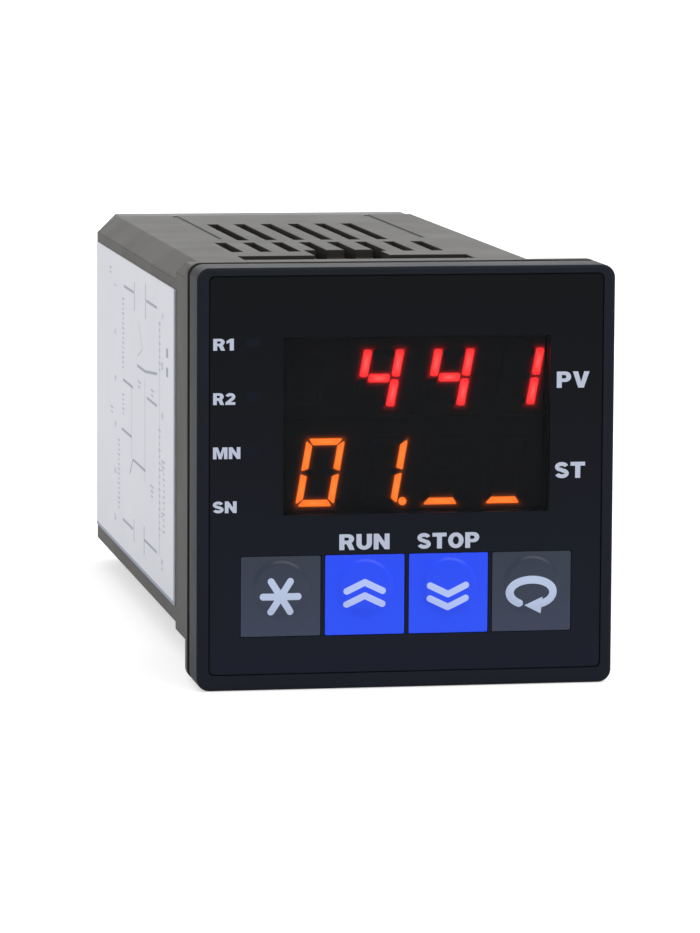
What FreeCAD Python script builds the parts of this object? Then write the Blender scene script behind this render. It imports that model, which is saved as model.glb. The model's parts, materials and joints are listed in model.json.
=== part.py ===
"""Panel-mounted process controller, 48 x 48 mm front, with its inner pieces.

Millimetres. +Z is up, the front looks along -Y, and the origin is the middle
of the panel plane, where the case flange lies against the panel's front.
"""
import FreeCAD, Part
import math
import os

V = FreeCAD.Vector

# Front frame and case flange
front_size = 48.0            # square front frame
frame_depth = 5.8            # front frame, along Y
groove_width = 1.9           # shadow groove between the frame and the case flange
groove_depth = 0.8
flange_thickness = 1.6       # case flange that lies on the panel
frame_corner = 1.5
frame_edge_round = 0.5
front_wall = 1.5             # wall of the frame behind the film
skirt_wall = 1.4
skirt_length = 7.0
fit_clearance = 0.1

# Case sleeve
flange_overhang = 1.6        # leaves a 44.8 mm case for a 45 mm square cut-out
case_length = 92.7           # from the panel plane to the end of the sleeve
case_wall = 1.6
collar_length = 19.1         # front stretch with small corner chamfers
collar_chamfer = 1.2
body_chamfer = 2.7           # across the top, and its drop down the side
body_chamfer_drop = 2.05
inner_chamfer = 1.8

# Front film and its recess
rim_width = 1.325
film_thickness = 0.3
film_corner = 0.6
film_sink = 0.1              # how far the film lies below the frame's rim
film_gap = 0.15
film_rise = 0.45             # film and recess above the middle of the front

# Display window, by its distances from the edges of the front
window_left_margin = 9.86
window_right_margin = 7.54
window_top_margin = 8.0
window_bottom_margin = 20.0
window_gap = 0.05

# Keys, four squares in a row
key_left_margin = 4.76
key_right_margin = 4.62
key_bottom_margin = 6.16
key_spacing = 0.5            # between the coloured squares
key_gap = 0.06
key_travel = 0.3
dome_diameter = 6.9
dome_height = 0.36
dome_shoulder = 0.28         # width of the dome's sloping edge
dome_shoulder_height = 0.22
dome_lift = 0.5              # dome centre above the middle of its key
key_names = ["star", "up", "down", "cycle"]

# Push switches behind the keys
switch_size = 6.0
switch_corner = 0.5
switch_height = 3.5
plunger_diameter = 3.5
plunger_clearance = 0.05
plunger_depth = 1.1          # plunger end inside its switch at rest
plunger_hole_gap = 0.3
plunger_end_gap = 0.2        # left below the pressed plunger
pocket_gap = 0.15

# Indicator lamps, in one column
lamp_names = ["r1", "r2", "mn", "sn"]
lamp_left_margin = 6.39
lamp_top_drop = 0.4          # first lamp below the top of the window
lamp_bottom_rise = 1.21      # last lamp above the bottom of the window
lamp_diameter = 2.0
lamp_collar = 2.5
lamp_collar_height = 1.0
lamp_hole = 1.6

# Displays
display_gap = 0.1            # window to segments, and display to display
display_side_gap = 0.2
segment_height = 0.25        # light bars on the display's face
display_depth = 5.75
pv_share = 0.46              # upper display's part of the window's height
digits = 4
pv_digit_margin = 1.375      # above and below the digits
pv_side_margin = 0.6
pv_digit_width = 4.65
pv_stroke = 0.95
pv_slant = 10.4
pv_shift = 0.02              # digits from the middle of their display
pv_rise = -0.22
st_digit_margin = 1.485
st_side_margin = 2.03
st_digit_width = 4.4
st_stroke = 0.74
st_slant = 9.8
st_shift = 0.105
st_rise = -0.825
segment_gap = 0.16
segment_mitre = 0.3          # half the slope of a mitred bar's end
dot_diameter = 0.9
dot_out = 0.64               # dot centre from the side of its digit
dot_rise = 0.42              # and from the foot of its digit
pv_text = " 441"
st_text = "01__"
st_dot_digit = 1

# Circuit boards
board_thickness = 1.6
board_clearance = 0.1
side_board_gap = 2.7         # long boards to the case wall
board_end_gap = 0.5
side_board_front = 8.5
tongue_front = 1.5
tongue_margin = 3.3
guide_rib = 1.0
guide_height = 1.1
guide_start = 9.0
stop_size = 3.0
stop_height = 0.8
socket_width = 2.5
socket_margin = 4.0
socket_reach = 8.0

# Terminal block
block_side_inset = 0.7
block_top_inset = 0.1
block_chamfer = 2.4
block_plug = 8.7             # stretch inside the sleeve
block_out = 5.3              # how far it stands out of the sleeve
terminals = 6                # in each of the two columns
terminal_end = 2.8
barrier = 1.0                # wall between two cells
cell_depth = 3.6
plate_thickness = 0.8
plate_gap = 0.25
screw_diameter = 3.0
screw_head_height = 1.7
screw_length = 6.0
screw_end_gap = 0.5
screw_slot = 0.7
screw_slot_depth = 0.9
screw_edge_round = 0.4
head_clearance = 0.5
blade_width = 2.2
blade_gap = 0.6              # screw to blade
blade_overlap = 4.0

# Vents, clip recess and grooves of the case
slot_width = 1.4
slot_pitch = 3.51
slot_shift = -0.65           # both rows off the middle of the case
slot_lead = 13.4             # collar to the front row
front_slots = 8
front_slot_length = 14.2
slot_row_gap = 3.6
rear_slots = 6
rear_slot_margin = 15.9      # rear row to the end of the case
cross_slot_width = 27.8
cross_slot_lead = 1.9
cross_slot_length = 5.4
cross_slot_depth = 0.8
clip_width = 9.2
clip_length = 13.4
clip_depth = 1.0
side_grooves = (-12.2, 13.5)  # where the two shallow grooves run, across
side_groove_width = 0.8
side_groove_depth = 0.2
side_groove_lead = 2.2       # start behind the front end of the rear row

# Side label
label_lead = 0.2
label_tail = 0.5
label_top_margin = 3.3
label_bottom_margin = 3.95
label_thickness = 0.15

# Transformer on the left board
core_lead = 2.0              # transformer to the relays, along Y
core_y = 17.0
core_x = 16.0
core_stack = 8.0
core_limb = 3.6
core_z = 2.0
core_yoke = 3.2
bobbin_wall = 0.7
bobbin_foot = 4.0
winding_build = 1.9
winding_corner = 1.2

# Other pieces on the long boards
relay_rear_gap = 7.5
relay_length = 18.4
relay_width = 10.0
relay_height = 14.6
relay_gap = 1.5
relay_edge_round = 0.6
bulk_diameter = 10.0
bulk_height = 15.0
bulk_lead = 2.0              # can to the transformer
bulk_z = 7.5
filter_diameter = 6.3
filter_height = 11.0
filter_z = -6.0
bridge_size = (4.0, 8.0, 7.0)
bridge_z = -0.5
fuse_diameter = 5.2
fuse_length = 12.0
fuse_edge = 6.3              # fuse axis to the board's upper edge
converter_size = (1.6, 6.0, 4.0)
converter_z = -12.0
small_lead = 2.0             # these three from the relays' front ends
chip_size = (1.6, 8.0, 5.0)
chip_lead = 16.0
chip_z = 8.0
processor_size = (1.6, 9.6, 9.6)
processor_start = 16.0

# Places worked out from the sizes above
body_size = front_size - 2 * flange_overhang
flange_front = -flange_thickness
frame_back = flange_front - groove_width
front_y = frame_back - frame_depth
recess_size = front_size - 2 * rim_width
film_size = recess_size - 2 * film_gap
film_front = front_y + film_sink
film_back = film_front + film_thickness
wall_back = film_back + front_wall
inner_size = body_size - 2 * case_wall
skirt_size = inner_size - 2 * fit_clearance
cavity_size = skirt_size - 2 * skirt_wall
window_left = window_left_margin - front_size / 2
window_right = front_size / 2 - window_right_margin
window_bottom = window_bottom_margin - front_size / 2
window_top = front_size / 2 - window_top_margin
window_middle_x = (window_left + window_right) / 2
key_pitch = (front_size - key_left_margin - key_right_margin) / len(key_names)
key_size = key_pitch - key_spacing
key_row_x = (key_left_margin - key_right_margin) / 2
key_row_z = key_bottom_margin + key_size / 2 - front_size / 2
dome_z = key_row_z + dome_lift
lamp_x = lamp_left_margin - front_size / 2
lamp_top_z = window_top - lamp_top_drop
lamp_pitch = (lamp_top_z - window_bottom - lamp_bottom_rise) / (len(lamp_names) - 1)
display_width = window_right - window_left - 2 * display_side_gap
pv_height = pv_share * (window_top - window_bottom)
st_height = window_top - window_bottom - pv_height - display_gap
pv_digit_height = pv_height - 2 * pv_digit_margin
st_digit_height = st_height - 2 * st_digit_margin
pv_pitch = (display_width - pv_digit_width - 2 * pv_side_margin) / (digits - 1)
st_pitch = (display_width - st_digit_width - 2 * st_side_margin) / (digits - 1)
pv_first_x = window_middle_x + pv_shift - pv_pitch * (digits - 1) / 2
st_first_x = window_middle_x + st_shift - st_pitch * (digits - 1) / 2
pv_middle_z = window_top - pv_height / 2 + pv_rise
st_middle_z = window_bottom + st_height / 2 + st_rise
segment_front = wall_back + display_gap
display_front = segment_front + segment_height
board_front = display_front + display_depth
board_back = board_front + board_thickness
switch_front = board_front - switch_height
plunger_end = switch_front + plunger_depth
block_front = case_length - block_plug
block_back = case_length + block_out
block_width = body_size - 2 * block_side_inset
block_height = body_size - 2 * block_top_inset
side_board_x = inner_size / 2 - side_board_gap - board_thickness
side_board_height = inner_size - 2 * board_end_gap
side_board_back = block_front - board_clearance
tongue_height = cavity_size - 2 * tongue_margin
socket_length = tongue_height - 2 * socket_margin
cell_floor = block_back - cell_depth
terminal_pitch = (block_height - 2 * terminal_end) / terminals
cell_height = terminal_pitch - barrier
plate_width = cell_height - 2 * plate_gap
screw_head = plate_width
screw_x = side_board_x - plate_thickness - blade_gap - screw_diameter / 2
cell_inner_x = screw_x - screw_head / 2 - head_clearance
front_slot_start = collar_length + slot_lead
front_slot_end = front_slot_start + front_slot_length
rear_slot_start = front_slot_end + slot_row_gap
rear_slot_end = case_length - rear_slot_margin
cross_slot_start = collar_length + cross_slot_lead
bobbin_start = bobbin_wall + core_yoke - side_board_x
bobbin_end = bobbin_wall + core_x - core_yoke - side_board_x
relay_start = side_board_back - relay_rear_gap - relay_length
core_start = relay_start - core_lead - core_y
bulk_y = core_start - bulk_lead - bulk_diameter / 2
small_start = relay_start + small_lead
fuse_z = side_board_height / 2 - fuse_edge
chip_start = relay_start - chip_lead - chip_size[1]


def box(x0, x1, y0, y1, z0, z1):
    """A block from its lowest to its highest corner."""
    return Part.makeBox(x1 - x0, y1 - y0, z1 - z0, V(x0, y0, z0))


def rod(diameter, y0, y1, x, z):
    """A round bar along Y."""
    return Part.makeCylinder(diameter / 2, y1 - y0, V(x, y0, z), V(0, 1, 0))


def extrude(points, y0, y1):
    """A prism along Y of an outline of (x, z) points."""
    corners = [V(x, y0, z) for x, z in points]
    face = Part.Face(Part.makePolygon(corners + corners[:1]))
    return face.extrude(V(0, y1 - y0, 0))


def chamfered_bar(width, height, chamfer, drop, y0, y1):
    """A bar along Y with its four corners cut, chamfer across and drop up or down."""
    x = width / 2
    z = height / 2
    a = x - chamfer
    b = z - drop
    outline = [(-a, z), (a, z), (x, b), (x, -b), (a, -z), (-a, -z), (-x, -b), (-x, b)]
    return extrude(outline, y0, y1)


def chamfered_square(size, chamfer, y0, y1):
    return chamfered_bar(size, size, chamfer, chamfer, y0, y1)


def rounded_square(size, radius, y0, y1):
    """A square bar along Y with round corners."""
    h = size / 2
    bar = box(-h, h, y0, y1, -h, h)
    corners = [e for e in bar.Edges if abs(e.tangentAt(e.FirstParameter).y) > 0.99]
    return bar.makeFillet(radius, corners)


def joined(shapes):
    """Several solids fused into one, with the seams of flat faces taken out."""
    return shapes[0].fuse(shapes[1:]).removeSplitter()


def cut_all(shape, tools):
    """A solid less all the tools."""
    return shape.cut(tools)


def key_x(index):
    """Middle of a key across the front."""
    return key_row_x + (index - (len(key_names) - 1) / 2) * key_pitch


def lamp_z(index):
    return lamp_top_z - index * lamp_pitch


def key_square(index, size, y0, y1):
    """A square block in the place of one key."""
    x = key_x(index)
    h = size / 2
    return box(x - h, x + h, y0, y1, key_row_z - h, key_row_z + h)


def window_block(gap, y0, y1):
    """A block in the place of the display window, larger by a gap."""
    return box(window_left - gap, window_right + gap, y0, y1,
               window_bottom - gap, window_top + gap)


def bezel_frame():
    """Front frame, neck behind the shadow groove, and the skirt that enters the case."""
    frame = rounded_square(front_size, frame_corner, front_y, frame_back)
    rim = [e for e in frame.Edges if e.BoundBox.YMax < front_y + 0.001]
    frame = frame.makeFillet(frame_edge_round, rim)
    neck_size = front_size - 2 * groove_depth
    neck = rounded_square(neck_size, frame_corner, frame_back, flange_front)
    skirt = chamfered_square(skirt_size, inner_chamfer, flange_front, skirt_length)
    h = cavity_size / 2
    cavity = box(-h, h, wall_back, skirt_length + 1, -h, h)
    recess = rounded_square(recess_size, film_corner, front_y - 1, film_back)
    recess.translate(V(0, 0, film_rise))
    cuts = [cavity, recess, window_block(window_gap, front_y, wall_back + 1)]
    for i in range(len(key_names)):
        pocket_back = film_back + key_travel + 2 * pocket_gap
        hole = plunger_diameter + 2 * plunger_hole_gap
        cuts.append(key_square(i, key_size + 2 * pocket_gap, front_y, pocket_back))
        cuts.append(rod(hole, front_y, wall_back + 1, key_x(i), dome_z))
    for i in range(len(lamp_names)):
        cuts.append(rod(lamp_hole, front_y, wall_back + 1, lamp_x, lamp_z(i)))
    body = cut_all(joined([frame, neck, skirt]), cuts)
    stops = []
    stop_front = board_back + board_clearance
    for sx in (-1, 1):
        for sz in (-1, 1):
            x = sx * (h - stop_height / 2)
            z = sz * (h - 2 * stop_size)
            stops.append(box(x - stop_height / 2, x + stop_height / 2,
                             stop_front, stop_front + stop_height,
                             z - stop_size / 2, z + stop_size / 2))
    return joined([body] + stops)


def front_overlay():
    """Printed front film, open at the display window and at the four keys."""
    film = rounded_square(film_size, film_corner, film_front, film_back)
    film.translate(V(0, 0, film_rise))
    cuts = [window_block(window_gap, front_y, wall_back)]
    for i in range(len(key_names)):
        cuts.append(key_square(i, key_size + 2 * key_gap, front_y, wall_back))
    return cut_all(film, cuts)


def key_pad(index):
    """One key's square of film with its embossed dome, a cone under a shallow cap."""
    pad = key_square(index, key_size, film_front, film_back)
    rim = dome_diameter / 2
    edge = rim - dome_shoulder
    cap_height = dome_height - dome_shoulder_height
    x = key_x(index)
    toward = V(0, -1, 0)
    root = film_thickness / 2
    foot = Part.makeCylinder(rim, root, V(x, film_front + root, dome_z), toward)
    cone = Part.makeCone(rim, edge, dome_shoulder_height, V(x, film_front, dome_z), toward)
    ball_radius = (edge ** 2 + cap_height ** 2) / (2 * cap_height)
    ball = Part.makeSphere(ball_radius, V(x, film_front - dome_height + ball_radius, dome_z))
    above = Part.makeCylinder(rim, 2 * dome_height, V(x, film_front - dome_shoulder_height, dome_z), toward)
    return joined([pad, foot, cone, ball.common(above)])


def switch_plunger(index):
    """Push rod from the key's film down into its switch."""
    return rod(plunger_diameter, film_back, plunger_end, key_x(index), dome_z)


def switch_body(index):
    """Push switch on the display board, with the well that guides its plunger."""
    x = key_x(index)
    h = switch_size / 2
    body = box(x - h, x + h, switch_front, board_front, dome_z - h, dome_z + h)
    well_end = plunger_end + key_travel + plunger_end_gap
    bore = plunger_diameter + 2 * plunger_clearance
    corners = [e for e in body.Edges if abs(e.tangentAt(e.FirstParameter).y) > 0.99]
    well = rod(bore, switch_front - 1, well_end, x, dome_z)
    return body.makeFillet(switch_corner, corners).cut(well)


def indicator_lamp(index):
    """Small round lamp on the display board, its dome just behind the front wall."""
    z = lamp_z(index)
    r = lamp_diameter / 2
    collar = rod(lamp_collar, board_front - lamp_collar_height, board_front, lamp_x, z)
    top = wall_back + display_gap
    stem = rod(lamp_diameter, top + r, board_front - lamp_collar_height, lamp_x, z)
    dome = Part.makeSphere(r, V(lamp_x, top + r, z))
    return joined([collar, stem, dome])


def display_window():
    """Smoked window that fills the opening of the film and of the front wall."""
    return window_block(0, film_front, wall_back)


def slanted(points, x, z, slant):
    """Points of a digit moved to its place and leaned over."""
    lean = math.tan(math.radians(slant))
    return [(x + px + pz * lean, z + pz) for px, pz in points]


def plain_bar(letter, w, h, s):
    """Outline of a straight-ended bar; w and h are half the middle-line sizes, s half the stroke."""
    g = segment_gap
    if letter in "adg":
        z = {"a": h, "d": -h, "g": 0}[letter]
        x = w - s - g
        return [(-x, z - s), (x, z - s), (x, z + s), (-x, z + s)]
    x = -w if letter in "ef" else w
    up = 1 if letter in "bf" else -1
    return [(x - s, up * g), (x + s, up * g), (x + s, up * (h + s)), (x - s, up * (h + s))]


def mitred_bar(letter, w, h, s):
    """Outline of a bar whose long edge is on the outside of the digit."""
    g = segment_gap
    m = segment_mitre
    if letter == "g":
        x = w - g
        return [(-x, 0), (-x + s, s), (x - s, s), (x, 0), (x - s, -s), (-x + s, -s)]
    if letter in "ad":
        up = 1 if letter == "a" else -1
        return [(-w - m + g, up * (h + s)), (w + m - g, up * (h + s)),
                (w - m - g, up * (h - s)), (-w + m + g, up * (h - s))]
    side = -1 if letter in "ef" else 1
    up = 1 if letter in "bf" else -1
    return [(side * (w + s), up * g), (side * (w + s), up * (h + m - g)),
            (side * (w - s), up * (h - m - g)), (side * (w - s), up * (g + m))]


glyphs = {" ": "", "0": "abcdef", "1": "bc", "4": "bcfg", "_": "d"}


def digit_bars(text, lit, bar, first_x, pitch, middle_z, width, height, stroke, slant):
    """The lit or the dark light bars of a display, as separate solids."""
    bars = []
    for place in range(digits):
        for letter in "abcdefg":
            if (letter in glyphs[text[place]]) != lit:
                continue
            outline = bar(letter, (width - stroke) / 2, (height - stroke) / 2, stroke / 2)
            points = slanted(outline, first_x + place * pitch, middle_z, slant)
            bars.append(extrude(points, segment_front, display_front))
    return bars


def pv_bars(lit):
    return digit_bars(pv_text, lit, plain_bar, pv_first_x, pv_pitch, pv_middle_z,
                      pv_digit_width, pv_digit_height, pv_stroke, pv_slant)


def st_bars(lit):
    """Bars of the lower display, with the one lit dot or the three dark ones."""
    bars = digit_bars(st_text, lit, mitred_bar, st_first_x, st_pitch, st_middle_z,
                      st_digit_width, st_digit_height, st_stroke, st_slant)
    for place in range(digits):
        if (place == st_dot_digit) == lit:
            dot = (st_digit_width / 2 + dot_out, dot_rise - st_digit_height / 2)
            x, z = slanted([dot], st_first_x + place * st_pitch, st_middle_z, st_slant)[0]
            bars.append(rod(dot_diameter, segment_front, display_front, x, z))
    return bars


def display_case(z0, z1):
    """Housing of one four-digit display, seated on the display board."""
    h = display_width / 2
    return box(window_middle_x - h, window_middle_x + h, display_front, board_front, z0, z1)


def display_board():
    """Board behind the front, for the displays, switches and lamps."""
    h = cavity_size / 2 - board_clearance
    return box(-h, h, board_front, board_back, -h, h)


def side_board(side):
    """Long upright board with a narrower tongue at the front; side is -1 or 1."""
    x0 = min(side * side_board_x, side * (side_board_x + board_thickness))
    x1 = x0 + board_thickness
    h = side_board_height / 2
    t = tongue_height / 2
    main = box(x0, x1, side_board_front, side_board_back, -h, h)
    tongue = box(x0, x1, tongue_front, side_board_front, -t, t)
    return joined([main, tongue])


def on_board(side, y0, y1, z0, z1, height):
    """A block that stands on the inner face of a long board; side is -1 or 1."""
    a = side * side_board_x
    b = side * (side_board_x - height)
    return box(min(a, b), max(a, b), y0, y1, z0, z1)


def chip_on_board(side, size, y0, z):
    """A block of (height, length, width) on a long board, by its front end and middle height."""
    height, length, width = size
    return on_board(side, y0, y0 + length, z - width / 2, z + width / 2, height)


def can_on_board(side, diameter, height, y, z):
    """A round can that stands on the inner face of a long board."""
    return Part.makeCylinder(diameter / 2, height, V(side * side_board_x, y, z), V(-side, 0, 0))


def board_socket(side):
    """Socket that joins the display board to the tongue of a long board."""
    h = socket_length / 2
    back = tongue_front + socket_reach
    return on_board(side, board_back, back, -h, h, socket_width)


def transformer_core():
    """Stacked core with two windows, lying on the left board's bobbin pins."""
    x0 = -side_board_x + bobbin_wall
    y1 = core_start + core_y
    block = box(x0, x0 + core_x, core_start, y1, core_z - core_stack / 2, core_z + core_stack / 2)
    middle = core_start + core_y / 2
    outer = core_y / 2 - core_limb / 2
    windows = []
    for side in (-1, 1):
        a = middle + side * core_limb / 2
        b = middle + side * outer
        windows.append(box(x0 + core_yoke, x0 + core_x - core_yoke, min(a, b), max(a, b),
                           core_z - core_stack, core_z + core_stack))
    return cut_all(block, windows)


def limb_block(grow_y, grow_z, x0, x1):
    """A block around the middle limb of the core."""
    middle = core_start + core_y / 2
    hy = core_limb / 2 + grow_y
    hz = core_stack / 2 + grow_z
    return box(x0, x1, middle - hy, middle + hy, core_z - hz, core_z + hz)


def transformer_bobbin():
    """Bobbin tube round the middle limb, with an end flange on each side."""
    tube = limb_block(bobbin_wall, bobbin_wall, bobbin_start, bobbin_end)
    flanges = []
    for x0 in (bobbin_start, bobbin_end - bobbin_wall):
        flanges.append(limb_block(bobbin_wall + winding_build, bobbin_wall + winding_build,
                                  x0, x0 + bobbin_wall))
    feet = []
    for side in (-1, 1):
        z = core_z + side * (core_stack / 2 + bobbin_wall + winding_build / 2)
        middle = core_start + core_y / 2
        feet.append(box(-side_board_x, bobbin_start, middle - bobbin_foot / 2, middle + bobbin_foot / 2,
                        z - winding_build / 2, z + winding_build / 2))
    hole = limb_block(0, 0, bobbin_start - 1, bobbin_end + 1)
    return cut_all(joined([tube] + flanges + feet), [hole])


def transformer_winding():
    """Copper winding between the bobbin's flanges."""
    x0 = bobbin_start + bobbin_wall
    x1 = bobbin_end - bobbin_wall
    outer = limb_block(bobbin_wall + winding_build, bobbin_wall + winding_build, x0, x1)
    corners = [e for e in outer.Edges if abs(e.tangentAt(e.FirstParameter).x) > 0.99]
    outer = outer.makeFillet(winding_corner, corners)
    return outer.cut(limb_block(bobbin_wall, bobbin_wall, x0 - 1, x1 + 1))


def relay(side_z):
    """Sealed output relay on the right board."""
    z0 = side_z * (relay_gap + relay_width) / 2
    h = relay_width / 2
    block = on_board(1, relay_start, relay_start + relay_length, z0 - h, z0 + h, relay_height)
    top = [e for e in block.Edges if e.BoundBox.XMax < side_board_x - relay_height + 0.001]
    return block.makeFillet(relay_edge_round, top)


def fuse():
    """Ceramic fuse lying along the left board."""
    r = fuse_diameter / 2
    return rod(fuse_diameter, small_start, small_start + fuse_length, r - side_board_x, fuse_z)


def case_sleeve():
    """Moulded case: panel flange, front collar, chamfered body, vents and board guides."""
    flange = rounded_square(front_size, frame_corner, flange_front, 0)
    collar = chamfered_square(body_size, collar_chamfer, 0, collar_length)
    body = chamfered_bar(body_size, body_size, body_chamfer, body_chamfer_drop,
                         collar_length, case_length)
    inside = chamfered_square(inner_size, inner_chamfer, flange_front - 1, case_length + 1)
    shell = joined([flange, collar, body]).cut(inside)
    top = inner_size / 2
    parts = [shell]
    for side in (-1, 1):
        for end in (-1, 1):
            for edge in (side_board_x - board_clearance - guide_rib,
                         side_board_x + board_thickness + board_clearance):
                x0 = min(side * edge, side * (edge + guide_rib))
                z0 = min(end * top, end * (top - guide_height))
                parts.append(box(x0, x0 + guide_rib, guide_start, side_board_back,
                                 z0, z0 + guide_height))
    solid = joined(parts)
    outer = body_size / 2
    cuts = []
    for end in (-1, 1):
        z0 = min(end * (top - guide_height), end * (outer + 1))
        z1 = max(end * (top - guide_height), end * (outer + 1))
        for count, y0, y1 in ((front_slots, front_slot_start, front_slot_end),
                              (rear_slots, rear_slot_start, rear_slot_end)):
            for i in range(count):
                x = slot_shift + (i - (count - 1) / 2) * slot_pitch
                cuts.append(box(x - slot_width / 2, x + slot_width / 2, y0, y1, z0, z1))
    w = cross_slot_width / 2
    cuts.append(box(-w, w, cross_slot_start, cross_slot_start + cross_slot_length,
                    outer - cross_slot_depth, outer + 1))
    w = clip_width / 2
    cuts.append(box(-w, w, cross_slot_start, cross_slot_start + clip_length,
                    outer - clip_depth, outer + 1))
    for x in side_grooves:
        w = side_groove_width / 2
        cuts.append(box(x - w, x + w, rear_slot_start + side_groove_lead, case_length + 1,
                        outer - side_groove_depth, outer + 1))
    return cut_all(solid, cuts)


def terminal_z(index):
    return ((terminals - 1) / 2 - index) * terminal_pitch


def terminal_block():
    """Rear moulding with two columns of open cells for the screws."""
    inner = chamfered_square(inner_size - 2 * fit_clearance, inner_chamfer, block_front, case_length)
    outer = chamfered_bar(block_width, block_height, block_chamfer, block_chamfer,
                          case_length, block_back)
    cuts = []
    for side in (-1, 1):
        for i in range(terminals):
            z = terminal_z(i)
            a = side * cell_inner_x
            b = side * (block_width / 2 + 1)
            cuts.append(box(min(a, b), max(a, b), cell_floor, block_back + 1,
                            z - cell_height / 2, z + cell_height / 2))
            x = side * screw_x
            cuts.append(rod(screw_diameter, cell_floor - screw_length, cell_floor + 1, x, z))
            a = side * side_board_x
            b = side * (side_board_x - plate_thickness)
            slot = box(min(a, b), max(a, b), block_front - 1, cell_floor + 1,
                       z - blade_width / 2, z + blade_width / 2)
            cuts.append(slot)
    return cut_all(joined([inner, outer]), cuts)


def terminal_plates():
    """Screw plates on the floors of the cells, each with a blade to its board."""
    plates = []
    for side in (-1, 1):
        for i in range(terminals):
            z = terminal_z(i)
            a = side * (cell_inner_x + fit_clearance)
            b = side * (block_width / 2 - 2 * fit_clearance)
            plate = box(min(a, b), max(a, b), cell_floor, cell_floor + plate_thickness,
                        z - plate_width / 2, z + plate_width / 2)
            a = side * side_board_x
            b = side * (side_board_x - plate_thickness)
            blade = box(min(a, b), max(a, b), side_board_back - blade_overlap, cell_floor,
                        z - blade_width / 2, z + blade_width / 2)
            hole = rod(screw_diameter, cell_floor - screw_length, block_back, side * screw_x, z)
            plates.append(joined([plate, blade]).cut(hole))
    return Part.makeCompound(plates)


def terminal_screws():
    """Slotted pan-head screws in the plates."""
    screws = []
    head_front = cell_floor + plate_thickness
    head_back = head_front + screw_head_height
    for side in (-1, 1):
        for i in range(terminals):
            x = side * screw_x
            z = terminal_z(i)
            shank = rod(screw_diameter, cell_floor - screw_length + screw_end_gap, head_front, x, z)
            head = rod(screw_head, head_front, head_back, x, z)
            rim = [e for e in head.Edges if e.BoundBox.YMin > head_back - 0.001]
            head = head.makeFillet(screw_edge_round, rim)
            h = screw_slot / 2
            slot_floor = head_back - screw_slot_depth
            slot = box(x - screw_head, x + screw_head, slot_floor, head_back + 1, z - h, z + h)
            reach = screw_head / 3
            cross = box(x - h, x + h, slot_floor, head_back + 1, z - reach, z + reach)
            screws.append(joined([shank, head]).cut([slot, cross]))
    return Part.makeCompound(screws)


def side_label():
    """Thin label on the left side of the case."""
    x = -body_size / 2
    h = body_size / 2
    return box(x - label_thickness, x, collar_length + label_lead, case_length - label_tail,
               label_bottom_margin - h, h - label_top_margin)


os.makedirs("parts", exist_ok=True)


def save(name, shape):
    """Write one node, after a look at its solids."""
    if not shape.isValid() or not shape.Solids:
        raise ValueError("bad solid: " + name)
    shape.exportStep("parts/" + name + ".step")
    print(name, len(shape.Solids), round(shape.Volume, 2))


save("bezel_frame", bezel_frame())
save("front_overlay", front_overlay())
save("display_window", display_window())
for number, name in enumerate(key_names):
    save("key_pad_" + name, key_pad(number))
    save("switch_plunger_" + name, switch_plunger(number))
    save("switch_body_" + name, switch_body(number))
for number, name in enumerate(lamp_names):
    save("indicator_lamp_" + name, indicator_lamp(number))

save("pv_display", display_case(window_top - pv_height, window_top))
save("st_display", display_case(window_bottom, window_bottom + st_height))
save("pv_lit_segments", Part.makeCompound(pv_bars(True)))
save("pv_dark_segments", Part.makeCompound(pv_bars(False)))
save("st_lit_segments", Part.makeCompound(st_bars(True)))
save("st_dark_segments", Part.makeCompound(st_bars(False)))
save("display_board", display_board())

save("power_board", side_board(-1))
save("main_board", side_board(1))
save("power_socket", board_socket(-1))
save("main_socket", board_socket(1))
save("transformer_core", transformer_core())
save("transformer_bobbin", transformer_bobbin())
save("transformer_winding", transformer_winding())
save("relay_upper", relay(1))
save("relay_lower", relay(-1))
save("bulk_capacitor", can_on_board(-1, bulk_diameter, bulk_height, bulk_y, bulk_z))
save("filter_capacitor", can_on_board(-1, filter_diameter, filter_height, bulk_y, filter_z))
save("bridge_rectifier", chip_on_board(-1, bridge_size, small_start, bridge_z))
save("fuse", fuse())
save("converter_chip", chip_on_board(-1, converter_size, small_start, converter_z))
save("processor_chip", chip_on_board(1, processor_size, processor_start, 0))
save("input_chip", chip_on_board(1, chip_size, chip_start, -chip_z))
save("driver_chip", chip_on_board(1, chip_size, chip_start, chip_z))

save("case_sleeve", case_sleeve())
save("terminal_block", terminal_block())
save("terminal_plates", terminal_plates())
save("terminal_screws", terminal_screws())
save("side_label", side_label())
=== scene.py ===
"""Looks of a panel-mounted process controller: its finished pieces, materials, light and camera.

Lengths are in metres in the part's own frame: +Z is up, the front looks along -Y,
and the origin is the middle of the panel plane. MM turns millimetres into metres.
"""

import json
import math

import bmesh
import bpy
import numpy as np
from mathutils import Matrix, Vector


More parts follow.
